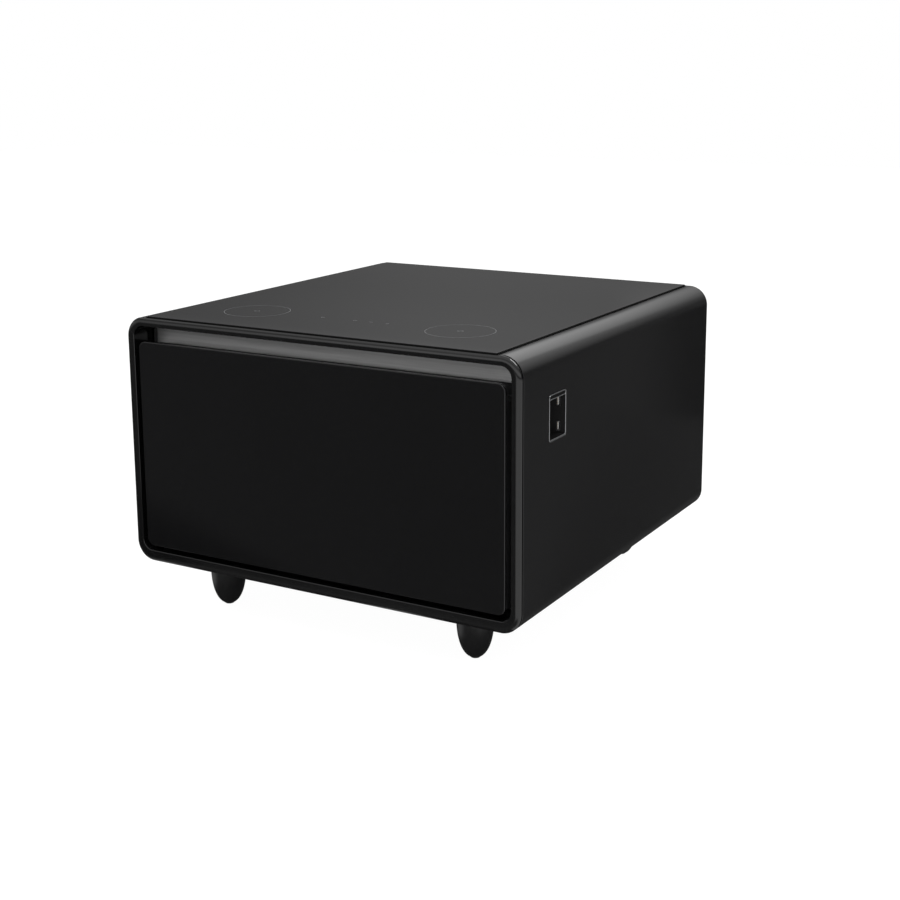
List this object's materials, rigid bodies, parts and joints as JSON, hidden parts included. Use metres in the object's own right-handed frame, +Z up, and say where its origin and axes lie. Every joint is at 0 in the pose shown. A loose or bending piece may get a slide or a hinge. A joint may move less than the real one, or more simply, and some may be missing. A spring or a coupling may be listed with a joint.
{
  "type": "refrigerator coffee table",
  "caption": "Low table with rounded edges and a glass top, holding a chilled drawer on telescopic slides, charge ports in its side and cooling machinery behind.",
  "frame": {"origin": "on the floor under the middle of the table's bounding box", "axes": "+X to the table's right seen from its front, the drawer opens towards -Y, +Z up"},
  "size_m": [0.65, 0.66, 0.45],
  "materials": {
    "outer_shell": "black satin paint",
    "front_bezel": "black gloss moulding",
    "back_panel": "black painted sheet",
    "glass_top": "black back-painted tempered glass",
    "top_tray": "black moulding",
    "touch_board": "green circuit board",
    "charging_pad_left": "copper winding on ferrite",
    "charging_pad_right": "copper winding on ferrite",
    "inner_liner": "white food-grade plastic",
    "insulation_foam": "pale yellow rigid foam",
    "liner_light": "frosted lens",
    "slide_outer_left": "zinc-plated steel",
    "slide_outer_right": "zinc-plated steel",
    "evaporator": "bare aluminium",
    "evaporator_cover": "white plastic",
    "evaporator_fan_frame": "black plastic",
    "machine_base": "zinc-plated sheet",
    "compressor": "black painted steel",
    "compressor_grommet_1": "grey rubber",
    "compressor_grommet_2": "grey rubber",
    "compressor_grommet_3": "grey rubber",
    "compressor_grommet_4": "grey rubber",
    "terminal_box": "black plastic",
    "drip_tray": "black plastic",
    "condenser": "copper tube and bare fins",
    "condenser_fan_frame": "black plastic",
    "filter_drier": "copper",
    "discharge_pipe": "copper",
    "capillary_tube": "copper",
    "suction_pipe": "copper",
    "control_board": "green circuit board",
    "power_supply": "bare aluminium case",
    "power_inlet": "black plastic",
    "charge_port_housing": "black gloss moulding",
    "charge_port_upper": "plated steel",
    "charge_port_lower": "plated steel",
    "foot_front_left": "black satin moulding",
    "foot_front_right": "black satin moulding",
    "foot_rear_left": "black satin moulding",
    "foot_rear_right": "black satin moulding",
    "drawer_glass": "black back-painted tempered glass",
    "drawer_front_frame": "black moulding",
    "grip_strip": "satin anodised strip",
    "drawer_back_panel": "white plastic",
    "drawer_gasket": "grey rubber",
    "drawer_basket": "white plastic",
    "basket_divider": "white plastic",
    "slide_inner_left": "zinc-plated steel",
    "slide_inner_right": "zinc-plated steel",
    "slide_middle_left": "zinc-plated steel",
    "slide_middle_right": "zinc-plated steel",
    "condenser_fan_rotor": "black plastic",
    "evaporator_fan_rotor": "black plastic"
  },
  "bodies": {
    "cabinet": {"outer_shell": "outer_shell", "front_bezel": "front_bezel", "back_panel": "back_panel", "glass_top": "glass_top", "top_tray": "top_tray", "touch_board": "touch_board", "charging_pad_left": "charging_pad_left", "charging_pad_right": "charging_pad_right", "inner_liner": "inner_liner", "insulation_foam": "insulation_foam", "liner_light": "liner_light", "slide_outer_left": "slide_outer_left", "slide_outer_right": "slide_outer_right", "evaporator": "evaporator", "evaporator_cover": "evaporator_cover", "evaporator_fan_frame": "evaporator_fan_frame", "machine_base": "machine_base", "compressor": "compressor", "compressor_grommet_1": "compressor_grommet_1", "compressor_grommet_2": "compressor_grommet_2", "compressor_grommet_3": "compressor_grommet_3", "compressor_grommet_4": "compressor_grommet_4", "terminal_box": "terminal_box", "drip_tray": "drip_tray", "condenser": "condenser", "condenser_fan_frame": "condenser_fan_frame", "filter_drier": "filter_drier", "discharge_pipe": "discharge_pipe", "capillary_tube": "capillary_tube", "suction_pipe": "suction_pipe", "control_board": "control_board", "power_supply": "power_supply", "power_inlet": "power_inlet", "charge_port_housing": "charge_port_housing", "charge_port_upper": "charge_port_upper", "charge_port_lower": "charge_port_lower", "foot_front_left": "foot_front_left", "foot_front_right": "foot_front_right", "foot_rear_left": "foot_rear_left", "foot_rear_right": "foot_rear_right"},
    "drawer": {"drawer_glass": "drawer_glass", "drawer_front_frame": "drawer_front_frame", "grip_strip": "grip_strip", "drawer_back_panel": "drawer_back_panel", "drawer_gasket": "drawer_gasket", "drawer_basket": "drawer_basket", "basket_divider": "basket_divider", "slide_inner_left": "slide_inner_left", "slide_inner_right": "slide_inner_right"},
    "middle_slides": {"slide_middle_left": "slide_middle_left", "slide_middle_right": "slide_middle_right"},
    "condenser_rotor": {"condenser_fan_rotor": "condenser_fan_rotor"},
    "evaporator_rotor": {"evaporator_fan_rotor": "evaporator_fan_rotor"}
  },
  "joints": [
    {"name": "drawer_slide", "type": "slide", "parent": "cabinet", "child": "drawer", "axis": [0, -1, 0], "range_m": [0, 0.36]},
    {"name": "middle_slide", "type": "slide", "parent": "cabinet", "child": "middle_slides", "axis": [0, -1, 0], "range_m": [0, 0.18]},
    {"name": "condenser_fan_spin", "type": "hinge", "parent": "cabinet", "child": "condenser_rotor", "pos_m": [0.072, 0.2495, 0.1416], "axis": [1, 0, 0], "continuous": true},
    {"name": "evaporator_fan_spin", "type": "hinge", "parent": "cabinet", "child": "evaporator_rotor", "pos_m": [0, 0.1135, 0.3007], "axis": [0, -1, 0], "continuous": true}
  ],
  "couplings": [
    {"joint": "middle_slide", "follows": "drawer_slide", "ratio": 0.5}
  ]
}
